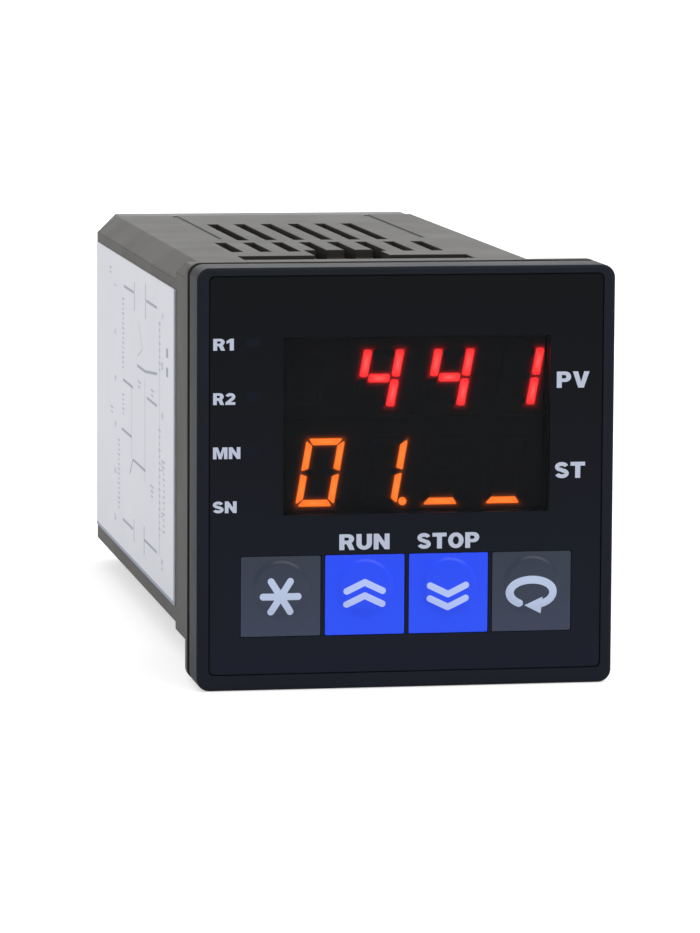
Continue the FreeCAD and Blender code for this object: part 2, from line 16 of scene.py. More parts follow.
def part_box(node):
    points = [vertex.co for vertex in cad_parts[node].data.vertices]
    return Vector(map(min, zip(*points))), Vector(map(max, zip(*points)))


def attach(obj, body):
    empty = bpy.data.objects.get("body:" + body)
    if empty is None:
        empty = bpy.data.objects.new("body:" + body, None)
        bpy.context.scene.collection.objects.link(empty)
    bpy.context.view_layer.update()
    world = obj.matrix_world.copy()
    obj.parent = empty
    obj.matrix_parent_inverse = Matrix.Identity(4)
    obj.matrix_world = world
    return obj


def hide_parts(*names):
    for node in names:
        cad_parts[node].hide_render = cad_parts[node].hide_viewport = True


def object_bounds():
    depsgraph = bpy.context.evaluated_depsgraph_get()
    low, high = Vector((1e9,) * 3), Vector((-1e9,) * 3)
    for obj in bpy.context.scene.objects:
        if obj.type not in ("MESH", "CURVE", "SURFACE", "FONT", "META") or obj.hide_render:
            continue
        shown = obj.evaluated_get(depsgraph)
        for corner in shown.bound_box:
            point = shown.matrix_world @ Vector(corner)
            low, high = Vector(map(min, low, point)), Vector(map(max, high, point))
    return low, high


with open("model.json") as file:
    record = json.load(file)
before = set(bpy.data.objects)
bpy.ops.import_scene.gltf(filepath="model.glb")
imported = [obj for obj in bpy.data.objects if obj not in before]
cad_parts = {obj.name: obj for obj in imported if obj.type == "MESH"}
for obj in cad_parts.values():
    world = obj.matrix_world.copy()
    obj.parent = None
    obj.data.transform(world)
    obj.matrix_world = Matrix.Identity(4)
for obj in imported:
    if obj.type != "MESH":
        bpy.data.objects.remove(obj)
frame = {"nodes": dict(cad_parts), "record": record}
cad_low, cad_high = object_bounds()

MM = 0.001
KEYS = ("star", "up", "down", "cycle")
LAMPS = ("r1", "r2", "mn", "sn")

# Places read from the frame
film_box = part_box("front_overlay")
film_front = film_box[0].y
film_back = film_box[1].y
label_low, label_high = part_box("side_label")
screw_low, screw_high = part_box("terminal_screws")
rear_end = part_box("terminal_block")[1].y

# Sizes of the finishes
INK_THICKNESS = 0.012 * MM       # print on the film, the label and the rear
PRINT_EDGE = 0.03 * MM           # softness of the edge of a mark on a key
DOME_RADIUS = 3.5 * MM
DOME_SHOULDER = (0.42 * MM, 1.5 * MM)   # width of the dome's sloping edge, at its top and at its foot
DOME_SHOULDER_HEIGHT = 0.27 * MM
DOME_LIFT = 0.66 * MM            # dome centre above the middle of its key
PAD_EDGE = 0.06 * MM             # round of a key's outer edge
PAD_SQUARENESS = 160             # how sharp the corners of a key's outline are
BAR_CROWN = 0.05 * MM            # height of a light bar's pillow
GLOW_REACH = 0.17 * MM           # how far a lit bar's light spreads on the display's face
FACE_THICKNESS = 0.05 * MM       # print on the displays' faces
SCREW_HEAD = 5.0 * MM            # width of a terminal screw's head
ROWS = 6                         # terminals in a column

# The stage: its floor's gap, the strength of its surround, and each lamp's name, place, size and power
FLOOR_GAP = 0.05 * MM
SURROUND = 0.9
LAMP_TABLE = (("top_lamp", (0.34, -0.3, 0.8), 0.9, 3.4),
              ("back_lamp", (0.15, 1.3, 0.7), 1.0, 4.0))
BLACK = (0.0, 0.0, 0.0, 1.0)
WHITE = (1.0, 1.0, 1.0, 1.0)


def linear(red, green, blue):
    """A colour of 0 to 255 a channel, as it shows on a screen, turned into linear light."""
    channels = [c / 255 for c in (red, green, blue)]
    light = [c / 12.92 if c < 0.04 else ((c + 0.055) / 1.055) ** 2.4 for c in channels]
    return (*light, 1.0)


def middle_of(node):
    """The middle of a node's box."""
    low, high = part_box(node)
    return (low + high) / 2


class Value:
    """A number that varies over a surface: a node's output that takes part in sums."""

    def __init__(self, nodes, socket):
        self.nodes = nodes
        self.socket = socket

    def joined(self, operation, *numbers):
        """The result of a Math node on the numbers."""
        inputs = dict(enumerate(numbers))
        return self.nodes.node("ShaderNodeMath", {"operation": operation}, inputs)

    def __add__(self, other):
        return self.joined("ADD", self, other)

    def __radd__(self, other):
        return self.joined("ADD", other, self)

    def __sub__(self, other):
        return self.joined("SUBTRACT", self, other)

    def __rsub__(self, other):
        return self.joined("SUBTRACT", other, self)

    def __mul__(self, other):
        return self.joined("MULTIPLY", self, other)

    def __rmul__(self, other):
        return self.joined("MULTIPLY", other, self)

    def __truediv__(self, other):
        return self.joined("DIVIDE", self, other)

    def __pow__(self, other):
        return self.joined("POWER", self, other)

    def __abs__(self):
        return self.joined("ABSOLUTE", self)

    def least(self, other):
        return self.joined("MINIMUM", self, other)

    def most(self, other):
        return self.joined("MAXIMUM", self, other)

    def repeated(self, step):
        """The distance to the nearest whole step."""
        share = self.joined("FRACT", self / step + 0.5)
        return abs(share - 0.5) * step

    def within(self, limit, softness):
        """1 where the value is below the limit and 0 above, over a soft edge."""
        ramp = (limit - self) / softness + 0.5
        return ramp.most(0.0).least(1.0)


class Nodes:
    """A node tree while it is put together."""

    def __init__(self, tree):
        self.tree = tree

    def node(self, kind, settings=None, inputs=None, output=0):
        """The output of a new node: its settings are made first, then its sockets' values or links."""
        made = self.tree.nodes.new(kind)
        for name, value in (settings or {}).items():
            setattr(made, name, value)
        for name, value in (inputs or {}).items():
            self.put(made.inputs[name], value)
        return Value(self, made.outputs[output])

    def put(self, socket, value):
        """Links a socket to a value that varies, or sets it to a plain one."""
        if isinstance(value, Value):
            self.tree.links.new(value.socket, socket)
        else:
            socket.default_value = value

    def seen(self):
        """1 for rays that see a background: from the camera, in a gloss or through glass."""
        rays = self.node("ShaderNodeLightPath")
        outputs = rays.socket.node.outputs
        kinds = ("Is Camera Ray", "Is Glossy Ray", "Is Transmission Ray")
        camera, gloss, glass = [Value(self, outputs[kind]) for kind in kinds]
        return camera.most(gloss).most(glass)


class Paint(Nodes):
    """One material while it is put together."""

    def __init__(self, name):
        self.material = bpy.data.materials.new(name)
        self.material.use_nodes = True
        super().__init__(self.material.node_tree)
        self.shader = self.tree.nodes["Principled BSDF"]
        self.place = self.node("ShaderNodeTexCoord", output="Object")

    def axes(self):
        """The object coordinates as three numbers, in metres."""
        split = self.node("ShaderNodeSeparateXYZ", inputs={"Vector": self.place})
        outputs = split.socket.node.outputs
        return [Value(self, outputs[axis]) for axis in "XYZ"]

    def noise(self, size, detail=2.0, stretch=(1.0, 1.0, 1.0)):
        """Cloudy noise from 0 to 1, whose patches are about size wide."""
        place = self.place
        if stretch != (1.0, 1.0, 1.0):
            place = self.node("ShaderNodeVectorMath", {"operation": "MULTIPLY"}, {0: place, 1: stretch})
        inputs = {"Vector": place, "Scale": 1 / size, "Detail": detail}
        return self.node("ShaderNodeTexNoise", inputs=inputs)

    def attribute(self, name):
        """A number that the piece's mesh carries at its points."""
        return self.node("ShaderNodeAttribute", {"attribute_name": name}, output="Fac")

    def mixed(self, first, second, share):
        """A colour between two colours."""
        settings = {"data_type": "RGBA"}
        return self.node("ShaderNodeMix", settings, {0: share, 6: first, 7: second}, output=2)

    def bump(self, height, depth, strength=1.0):
        """A normal from a height of 0 to 1 that stands for depth metres."""
        inputs = {"Strength": strength, "Distance": depth, "Height": height}
        return self.node("ShaderNodeBump", inputs=inputs)

    def finish(self, sockets):
        """Sets or links the shader's sockets, and gives the material."""
        for name, value in sockets.items():
            self.put(self.shader.inputs[name], value)
        return self.material


def moulded_plastic(name, dark, light, grain, roughness, gloss=0.5):
    """Plastic with a fine spark-eroded grain, cloudy in colour and in sheen."""
    paint = Paint(name)
    fine = paint.noise(grain, 3.0)
    clouds = paint.noise(grain * 45, 3.0)
    share = fine * 0.35 + clouds * 0.65
    return paint.finish({
        "Base Color": paint.mixed(dark, light, share),
        "Roughness": roughness + 0.12 * (clouds - 0.5),
        "Normal": paint.bump(fine, 0.012 * MM, 0.7),
        "Specular IOR Level": gloss,
    })


def printed_film(name, colour, foot, box, sheen, roughness, marks=None, ink=None, spots=None):
    """Printed polyester film: a faint orange-peel surface, with marks in a second colour.

    The colour at the top of the box passes into the foot's colour by the height to the power 1.5; the lighter
    foot colour is a painted reflection of the pale floor.
    """
    paint = Paint(name)
    peel = paint.noise(0.35 * MM, 2.0)
    clouds = paint.noise(9 * MM, 2.0)
    lighter = tuple(1.12 * c for c in colour[:3]) + (1.0,)
    x, y, z = paint.axes()
    # painted reflection: the colour grows lighter and bluer towards the foot of the box
    fall = ((box[1].z - z) / (box[1].z - box[0].z)).most(0.0) ** 1.5
    base = paint.mixed(paint.mixed(colour, lighter, clouds), foot, fall)
    if spots:
        base = paint.mixed(base, spots[1], spots[0](paint))
    if marks:
        base = paint.mixed(base, ink, marks(paint))
    return paint.finish({
        "Base Color": base,
        "Roughness": roughness + 0.08 * (clouds - 0.5),
        "Normal": paint.bump(peel, 0.004 * MM, 0.6),
        "Specular IOR Level": sheen,
    })


def stroke(across, up, start, end, width):
    """A mask of a straight stroke with round ends: 1 within half its width of the line."""
    dx, dz = end[0] - start[0], end[1] - start[1]
    square = dx * dx + dz * dz
    ax, az = across - start[0], up - start[1]
    along = ((ax * dx + az * dz) / square).most(0.0).least(1.0)
    away = ((ax - along * dx) ** 2.0 + (az - along * dz) ** 2.0) ** 0.5
    return away.within(width / 2, PRINT_EDGE)


def all_of(masks):
    """The union of several masks."""
    union = masks[0]
    for mask in masks[1:]:
        union = union.most(mask)
    return union


def key_axes(paint, key):
    """Distances across and up from the middle of a key, in metres."""
    middle = middle_of("key_pad_" + key)
    x, y, z = paint.axes()
    return x - middle.x, z - middle.z


def star_mark(paint):
    """Six arms: three strokes that cross in one point, one of them level."""
    across, up = key_axes(paint, "star")
    arms = []
    for right, high in ((2.0, 0.0), (1.1, 1.74), (-1.1, 1.74)):
        tip = (right * MM, high * MM)
        arms.append(stroke(across + 0.05 * MM, up, (-tip[0], -tip[1]), tip, 0.79 * MM))
    return all_of(arms)


def chevron_mark(key, tips, way, shift):
    """Two bent strokes, their points up (way 1) or down (way -1).

    The tips are heights above the key's middle, and shift moves both to the left, in millimetres.
    """
    reach, drop, width = 2.06 * MM, 1.0 * MM, 0.76 * MM

    def mark(paint):
        across, up = key_axes(paint, key)
        across = across + shift * MM
        arms = []
        for tip in tips:
            for side in (-1, 1):
                end = (side * reach, tip * MM - way * drop)
                arms.append(stroke(across, up, (0.0, tip * MM), end, width))
        return all_of(arms)
    return mark


def triangle(across, up, corners):
    """A mask of a triangle whose corners run clockwise: 1 inside all three sides' lines."""
    inside = []
    for start, end in zip(corners, corners[1:] + corners[:1]):
        dx, dz = end[0] - start[0], end[1] - start[1]
        beyond = ((up - start[1]) * dx - (across - start[0]) * dz) / math.hypot(dx, dz)
        inside.append(beyond.within(0.0, PRINT_EDGE))
    return inside[0] * inside[1] * inside[2]


def cycle_mark(paint):
    """An oval ring of one stroke width, open at the lower left, with a round end and an arrow head.

    The distance to the oval's middle line is about |f - 1| * f / |(x / a**2, z / b**2)|, where
    f = |(x / a, z / b)|.
    """
    across, up = key_axes(paint, "cycle")
    a, b, width = 2.52 * MM, 1.47 * MM, 0.9 * MM
    ax, az = across + 0.04 * MM, up + 0.1 * MM
    f = ((ax / a) ** 2.0 + (az / b) ** 2.0) ** 0.5
    slope = ((ax / a ** 2) ** 2.0 + (az / b ** 2) ** 2.0) ** 0.5
    ring = (abs(f - 1) * f / slope).within(width / 2, PRINT_EDGE)
    opening = abs(across + 0.15 * MM).within(1.3 * MM, PRINT_EDGE) * up.within(0.0, PRINT_EDGE)
    end = (-1.45 * MM, -1.32 * MM)
    tail = stroke(across, up, end, (end[0] - 0.01 * MM, end[1]), 0.86 * MM)
    corners = [(-0.87 * MM, -1.58 * MM), (1.25 * MM, -0.62 * MM), (1.1 * MM, -2.58 * MM)]
    head = triangle(across, up, corners)
    return all_of([ring * (1 - opening), tail, head])


def lamp_spots(paint):
    """Faint see-through windows of the print over the four lamps."""
    x, y, z = paint.axes()
    first = middle_of("indicator_lamp_" + LAMPS[0])
    last = middle_of("indicator_lamp_" + LAMPS[-1])
    step = (first.z - last.z) / (len(LAMPS) - 1)
    beside = abs(x - first.x).within(0.8 * MM, 0.15 * MM)
    level = (z - first.z).repeated(step).within(0.5 * MM, 0.15 * MM)
    column = abs(z - (first.z + last.z) / 2).within(2 * step, 0.1 * MM)
    return beside * level * column


def lit_bars(name, colour, core, strength):
    """Light bars: the colour glows from the shader, paler towards each bar's middle."""
    paint = Paint(name)
    middle = paint.attribute("middle")
    return paint.finish({
        "Base Color": tuple(0.3 * c for c in colour[:3]) + (1.0,),
        "Roughness": 0.5,
        "Emission Color": paint.mixed(colour, core, middle ** 1.6),
        "Emission Strength": strength,
    })


def display_face(name, glow, strength):
    """Black printed face of a display, with the light that the lit bars spill on it."""
    paint = Paint(name)
    spill = paint.attribute("spill")
    clouds = paint.noise(0.4 * MM, 2.0)
    return paint.finish({
        "Base Color": paint.mixed(linear(15, 15, 16), linear(18, 18, 19), clouds),
        "Roughness": 0.7,
        "Specular IOR Level": 0.1,
        "Emission Color": paint.mixed(BLACK, glow, spill),
        "Emission Strength": strength,
    })


def metal(name, colour, dull, roughness, along=(1.0, 1.0, 1.0)):
    """Plated metal with drawn streaks and dull patches."""
    paint = Paint(name)
    streaks = paint.noise(0.3 * MM, 3.0, along)
    patches = paint.noise(2 * MM, 2.0)
    return paint.finish({
        "Base Color": paint.mixed(colour, dull, patches * 0.6),
        "Metallic": 1.0,
        "Roughness": roughness + 0.15 * streaks,
        "Normal": paint.bump(streaks, 0.006 * MM, 0.5),
    })


def circuit_board(name):
    """Green board: fine straight tracks under its mask, and round bare pads."""
    paint = Paint(name)
    x, y, z = paint.axes()
    wander = paint.noise(6 * MM, 1.0)
    lanes = z.repeated(1.27 * MM).within(0.22 * MM, 0.05 * MM)
    crossing = y.repeated(2.54 * MM).within(0.2 * MM, 0.05 * MM)
    track = lanes * wander.within(0.52, 0.02) + crossing * (1 - wander.within(0.55, 0.02))
    pad = (y.repeated(2.54 * MM) ** 2.0 + (z + x).repeated(2.54 * MM) ** 2.0) ** 0.5
    spot = pad.within(0.42 * MM, 0.05 * MM)
    green = paint.mixed(linear(16, 78, 46), linear(34, 112, 66), track.least(1.0) * 0.8)
    return paint.finish({
        "Base Color": paint.mixed(green, linear(196, 190, 170), spot),
        "Roughness": 0.38 - 0.1 * spot,
        "Metallic": 0.7 * spot,
        "Normal": paint.bump(track.least(1.0), 0.03 * MM, 0.6),
    })


def sleeved_can(node):
    """A capacitor's shrunk sleeve with its pale stripe, and the bare metal end towards +X."""
    paint = Paint(node + "_sleeve")
    middle = middle_of(node)
    sleeve_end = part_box(node)[1].x - 0.15 * MM
    x, y, z = paint.axes()
    stripe = abs(z - middle.z).within(1.1 * MM, 0.1 * MM) * (y - middle.y).within(0.0, 0.1 * MM)
    covered = (x - sleeve_end).within(0.0, 0.05 * MM)
    sleeve = paint.mixed(linear(28, 34, 62), linear(178, 182, 190), stripe)
    clouds = paint.noise(1.5 * MM, 2.0)
    return paint.finish({
        "Base Color": paint.mixed(linear(200, 200, 200), sleeve, covered),
        "Metallic": 0.9 * (1 - covered),
        "Roughness": 0.3 + 0.12 * clouds,
        "Normal": paint.bump(clouds, 0.02 * MM, 0.4),
    })


def steel_laminations():
    """Varnished core steel: thin dark lines between the sheets, stacked along Z."""
    paint = Paint("core_steel")
    x, y, z = paint.axes()
    line = z.repeated(0.5 * MM).within(0.06 * MM, 0.03 * MM)
    rust = paint.noise(1.2 * MM, 4.0)
    steel = paint.mixed(linear(96, 94, 92), linear(120, 100, 82), rust.within(0.42, 0.1) * 0.5)
    return paint.finish({
        "Base Color": paint.mixed(steel, linear(30, 28, 27), line),
        "Metallic": 0.6,
        "Roughness": 0.42 + 0.2 * rust,
        "Normal": paint.bump(1 - line, 0.05 * MM, 0.8),
    })


def ceramic_fuse():
    """A pale ceramic tube with a plated cap at each end."""
    paint = Paint("fuse_tube")
    low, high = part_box("fuse")
    x, y, z = paint.axes()
    middle = (low.y + high.y) / 2
    cap = 1 - abs(y - middle).within((high.y - low.y) / 2 - 2.6 * MM, 0.05 * MM)
    specks = paint.noise(0.3 * MM, 3.0)
    tube = paint.mixed(linear(214, 208, 190), linear(198, 190, 170), specks)
    return paint.finish({
        "Base Color": paint.mixed(tube, linear(206, 202, 192), cap),
        "Metallic": cap,
        "Roughness": 0.42 - 0.18 * cap,
        "Normal": paint.bump(cap, 0.12 * MM, 0.8),
    })


def smoked_window():
    """Smoked clear plastic that lets about two thirds of the light through each face."""
    paint = Paint("window_smoke")
    clouds = paint.noise(7 * MM, 2.0)
    return paint.finish({
        "Base Color": paint.mixed(linear(15, 17, 21), linear(19, 21, 25), clouds),
        "Roughness": 0.28 + 0.06 * clouds,
        "Alpha": 0.35,
        "Specular IOR Level": 0.14,
    })


def label_paper():
    """White label film with faint grey clouds and tiny specks."""
    paint = Paint("label_paper")
    clouds = paint.noise(14 * MM, 3.0)
    specks = paint.noise(0.5 * MM, 2.0)
    return paint.finish({
        "Base Color": paint.mixed(linear(216, 218, 225), linear(206, 208, 216), clouds),
        "Roughness": 0.45 + 0.1 * specks,
        "Normal": paint.bump(specks, 0.004 * MM, 0.4),
    })


def copper_winding():
    """Enamelled copper, its turns 0.45 mm apart along X and parted by dark lines."""
    paint = Paint("copper_wire")
    x, y, z = paint.axes()
    line = x.repeated(0.45 * MM).within(0.06 * MM, 0.05 * MM)
    tone = paint.noise(1.0 * MM, 2.0)
    wire = paint.mixed(linear(196, 116, 62), linear(160, 84, 42), tone)
    return paint.finish({
        "Base Color": paint.mixed(wire, linear(70, 34, 20), line),
        "Metallic": 0.85,
        "Roughness": 0.3 + 0.15 * tone,
    })


# Colours of the print, the keys and the lit bars
INK = linear(186, 194, 213)
SYMBOL_INK = linear(188, 202, 230)
BLUE_KEY_INK = linear(186, 202, 255)
# The keys' foot colours are lighter than their tops: a painted reflection of the floor.
KEY_GREY = (linear(31, 42, 60), linear(44, 54, 78))        # top and foot of a key
KEY_BLUE = (linear(14, 68, 244), linear(26, 78, 255))
RED = linear(250, 36, 38)
RED_CORE = linear(255, 98, 94)
ORANGE = linear(255, 112, 30)
ORANGE_CORE = linear(255, 134, 54)

# Materials
bezel_plastic = moulded_plastic("bezel_plastic", linear(29, 31, 39), linear(35, 37, 45),
                                0.16 * MM, 0.45, gloss=0.03)
case_plastic = moulded_plastic("case_plastic", linear(46, 44, 42), linear(58, 56, 53),
                               0.2 * MM, 0.45, gloss=0.05)
terminal_plastic = moulded_plastic("terminal_plastic", linear(44, 43, 42), linear(54, 53, 52),
                                   0.2 * MM, 0.45, gloss=0.2)
housing_plastic = moulded_plastic("display_housing", linear(15, 15, 16), linear(18, 18, 19),
                                  0.15 * MM, 0.7, gloss=0.1)
dark_bars = moulded_plastic("segment_dark", linear(17, 17, 18), linear(20, 20, 21), 0.3 * MM, 0.7, gloss=0.1)
switch_plastic = moulded_plastic("switch_black", linear(34, 34, 36), linear(44, 44, 46), 0.15 * MM, 0.5)
socket_plastic = moulded_plastic("socket_black", linear(30, 30, 32), linear(40, 40, 42), 0.15 * MM, 0.5)
relay_plastic = moulded_plastic("relay_case", linear(34, 60, 128), linear(40, 70, 142), 0.2 * MM, 0.4)
bobbin_plastic = moulded_plastic("bobbin_nylon", linear(226, 220, 200), linear(236, 232, 216), 0.2 * MM, 0.45)
chip_plastic = moulded_plastic("chip_black", linear(30, 30, 31), linear(42, 42, 43), 0.1 * MM, 0.55)
lamp_resin = moulded_plastic("lamp_resin", linear(170, 54, 48), linear(190, 70, 60), 0.3 * MM, 0.3)
board_green = circuit_board("board_green")
# The film's second colour is its foot: lighter and bluer than its top, a painted reflection of the floor.
film = printed_film("overlay_film", linear(13, 15, 18), linear(25, 29, 41), film_box, 0.06, 0.3,
                    spots=(lamp_spots, linear(19, 22, 31)))
red_bars = lit_bars("segment_red_lit", RED, RED_CORE, 2.7)
orange_bars = lit_bars("segment_orange_lit", ORANGE, ORANGE_CORE, 2.7)
pv_face = display_face("pv_face", RED, 0.75)
st_face = display_face("st_face", ORANGE, 0.45)
window_smoke = smoked_window()
plate_metal = metal("nickel_brass", linear(206, 196, 168), linear(176, 162, 130), 0.25, (1.0, 0.2, 1.0))
screw_metal = metal("nickel_steel", linear(200, 198, 192), linear(168, 166, 160), 0.22)

text_ink = Paint("print_ink").finish({"Base Color": INK, "Roughness": 0.42, "Specular IOR Level": 0.3})
label_ink = Paint("label_ink").finish({"Base Color": linear(138, 143, 160), "Roughness": 0.5})
# painted shade: the dark bluish lines along the label's front and lower edges
label_edge_shade_ink = Paint("label_edge_shade_ink").finish({"Base Color": linear(122, 134, 158), "Roughness": 0.5})
faint_ink = Paint("faint_ink").finish({"Base Color": linear(168, 172, 186), "Roughness": 0.5})
number_ink = Paint("number_ink").finish({"Base Color": linear(206, 206, 204), "Roughness": 0.5})


def body_of(node):
    """The body that a node rides on."""
    bodies = frame["record"]["behaviour"]["bodies"]
    return next(body for body, members in bodies.items() if node in members)


def make_piece(name, mesh, material, slot, body="root", replaces=(), sharp=38.0):
    """Links a mesh as a piece, with smooth faces but for its sharp edges."""
    mesh.materials.clear()
    mesh.materials.append(material)
    mesh.polygons.foreach_set("use_smooth", np.ones(len(mesh.polygons), bool))
    mesh.set_sharp_from_angle(angle=math.radians(sharp))
    piece = bpy.data.objects.new(name, mesh)
    bpy.context.scene.collection.objects.link(piece)
    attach(piece, body)
    if replaces:
        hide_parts(*replaces)
    return piece


def closed_mesh(name, points, faces, values=None):
    """A mesh of arrays, its faces turned outwards; values are numbers at the points, by name."""
    mesh = bpy.data.meshes.new(name)
    mesh.from_pydata(np.asarray(points).reshape(-1, 3).tolist(), [], faces)
    for label, numbers in (values or {}).items():
        layer = mesh.attributes.new(label, "FLOAT", "POINT")
        layer.data.foreach_set("value", np.asarray(numbers, np.float32).ravel())
    form = bmesh.new()
    form.from_mesh(mesh)
    bmesh.ops.recalc_face_normals(form, faces=form.faces)
    form.to_mesh(mesh)
    form.free()
    return mesh


def ring_faces(rings, count, first=0):
    """Faces of a stack of closed rings: a quad between neighbours, and one face over each end."""
    ring = np.arange(rings - 1)[:, None] * count + first
    here = np.arange(count)[None, :]
    after = (here + 1) % count
    quads = np.stack([ring + here, ring + after, ring + count + after, ring + count + here], -1)
    ends = [list(range(first, first + count)),
            list(range(first + (rings - 1) * count, first + rings * count))]
    return quads.reshape(-1, 4).tolist() + ends


def dress(node, material):
    """Gives its material to a node that keeps its CAD form."""
    materials = frame["nodes"][node].data.materials
    materials.clear()
    materials.append(material)


def soft_copy(node, width, material, slot, segments=3, sharp=30.0):
    """A node's own form, its doubles merged, its flat faces joined and its sharp edges rounded."""
    mesh = frame["nodes"][node].data.copy()
    mesh.name = node + "_form"
    form = bmesh.new()
    form.from_mesh(mesh)
    bmesh.ops.remove_doubles(form, verts=form.verts, dist=0.001 * MM)
    bmesh.ops.dissolve_limit(form, angle_limit=math.radians(0.4), verts=form.verts, edges=form.edges)
    form.to_mesh(mesh)
    form.free()
    if "custom_normal" in mesh.attributes:
        mesh.attributes.remove(mesh.attributes["custom_normal"])
    piece = make_piece(node + "_moulding", mesh, material, slot, body_of(node), (node,))
    edges = piece.modifiers.new("soft_edges", "BEVEL")
    edges.width = width
    edges.segments = segments
    edges.limit_method = "ANGLE"
    edges.angle_limit = math.radians(sharp)
    edges.harden_normals = True
    return piece


def key_pad(key, material):
    """A key's square of film with its embossed dome, as rings from the dome's middle to the pad's foot.

    A ring is r * (cos a, sin a) / (|cos a|**p + |sin a|**p) ** (1/p): a circle at p = 2 on the
    dome, and a square at the largest p. The dome's height falls from its middle by a parabola,
    and over the shoulder by 3t**2 - 2t**3. The shoulder widens from the dome's top to its foot.
    """
    low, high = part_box("key_pad_" + key)
    half = (high.x - low.x) / 2
    middle_x, middle_z = (low.x + high.x) / 2, (low.z + high.z) / 2
    cap = film_front - low.y - DOME_SHOULDER_HEIGHT
    film_depth = film_front - film_back
    flat_end = half - PAD_EDGE
    dome = np.linspace(0.02, 1.0, 16)
    slope = np.linspace(0.0, 1.0, 13)[1:]
    spread = np.linspace(0.0, 1.0, 7)[1:]
    turn = np.linspace(0.0, math.pi / 2, 5)[1:]
    angle = 2 * math.pi * np.arange(144) / 144
    c, s = np.cos(angle), np.sin(angle)
    shoulder = DOME_SHOULDER[0] + (DOME_SHOULDER[1] - DOME_SHOULDER[0]) * (1 - s) / 2
    top = (DOME_RADIUS - shoulder) * dome[:, None]
    fall = DOME_RADIUS - shoulder * (1 - slope[:, None])
    beyond = np.concatenate([DOME_RADIUS + (flat_end - DOME_RADIUS) * spread,
                             flat_end + PAD_EDGE * np.sin(turn), [half, flat_end]])
    radius = np.concatenate([top, fall, np.broadcast_to(beyond[:, None], (len(beyond), len(angle)))])
    height = np.concatenate([DOME_SHOULDER_HEIGHT + cap * (1 - dome ** 2),
                             DOME_SHOULDER_HEIGHT * (1 - slope ** 2 * (3 - 2 * slope)),
                             0 * spread, PAD_EDGE * (np.cos(turn) - 1),
                             [film_depth, film_depth]])
    outwards = np.clip((radius - DOME_RADIUS) / (flat_end - DOME_RADIUS), 0, 1)
    p = 2 + PAD_SQUARENESS * outwards ** 3
    reach = radius / (np.abs(c) ** p + np.abs(s) ** p) ** (1 / p)
    x = middle_x + reach * c
    z = middle_z + DOME_LIFT * (1 - outwards) + reach * s
    y = np.broadcast_to(film_front - height[:, None], x.shape)
    points = np.stack([x, y, z], -1)
    faces = ring_faces(len(radius), len(angle))
    mesh = closed_mesh("pad_" + key, points, faces)
    slot = "key_blue" if key in ("up", "down") else "key_grey"
    return make_piece("key_face_" + key, mesh, material, slot, "key_" + key, ("key_pad_" + key,), 50)


def bar_corners(node):
    """The corners of each light bar of a node, as (x, z) arrays in order round the bar.

    The points are rounded to a fine grid, so that doubles meet. Each point then takes the lowest
    number in its triangles, until a bar's points all have the same one.
    """
    grid = 0.002 * MM
    source = frame["nodes"][node].data
    points = np.zeros(len(source.vertices) * 3)
    source.vertices.foreach_get("co", points)
    points = points.reshape(-1, 3)
    keys, index = np.unique(np.round(points / grid).astype(int), axis=0, return_inverse=True)
    index = index.ravel()
    corners = np.zeros(len(source.loops), int)
    source.loops.foreach_get("vertex_index", corners)
    triangles = index[corners].reshape(-1, 3)
    island = np.arange(len(keys))
    while True:
        lowest = island[triangles].min(1)
        before = island.copy()
        for column in range(3):
            np.minimum.at(island, triangles[:, column], lowest)
        if (before == island).all():
            break
    front = keys[:, 1] == keys[:, 1].min()
    bars = []
    for one in np.unique(island):
        flat = keys[(island == one) & front][:, [0, 2]] * grid
        away = flat - flat.mean(0)
        bars.append(flat[np.argsort(np.arctan2(away[:, 1], away[:, 0]))])
    return bars


def rounded(corners, radius, count=48):
    """Outline of a convex shape with round corners.

    Each corner moves in by the radius along both its edges' normals, v + (m + n) r / (1 + m.n);
    the outline at an angle is the moved corner that lies furthest that way, plus the radius.
    """
    ahead = np.roll(corners, -1, 0) - corners
    ahead /= np.linalg.norm(ahead, axis=1)[:, None]
    inward = np.stack([-ahead[:, 1], ahead[:, 0]], -1)
    before = np.roll(inward, 1, 0)
    inner = corners + (before + inward) * radius / (1 + (before * inward).sum(1))[:, None]
    angle = 2 * math.pi * (np.arange(count) + 0.5) / count
    way = np.stack([np.cos(angle), np.sin(angle)], -1)
    return inner[np.argmax(way @ inner.T, 1)] + radius * way


def light_bars(node, name, material, slot, radius):
    """The bars of a display as low pillows: the outline shrunk to its middle in rings.

    A ring's share s runs from 0 in the middle to 1 at the edge, its height falls by the
    crown times s**4, and each point carries 1 - s as the number "middle".
    """
    low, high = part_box(node)
    share = np.concatenate([np.linspace(0.05, 0.9, 8), [0.95, 1.0, 1.0, 1.0]])
    front = low.y + BAR_CROWN * share ** 4
    front[-2:] = (low.y + high.y) / 2, high.y
    points, faces, values = [], [], []
    for number, corners in enumerate(bar_corners(node)):
        outline = rounded(corners, radius)
        centre = corners.mean(0)
        ring = centre + share[:, None, None] * (outline - centre)
        y = np.broadcast_to(front[:, None], ring.shape[:2])
        points.append(np.stack([ring[..., 0], y, ring[..., 1]], -1).reshape(-1, 3))
        values.append(np.repeat(1 - share, len(outline)))
        faces += ring_faces(len(share), len(outline), number * len(share) * len(outline))
    mesh = closed_mesh(name, np.concatenate(points), faces, {"middle": np.concatenate(values)})
    return make_piece(name, mesh, material, slot, "root", (node,), 60)


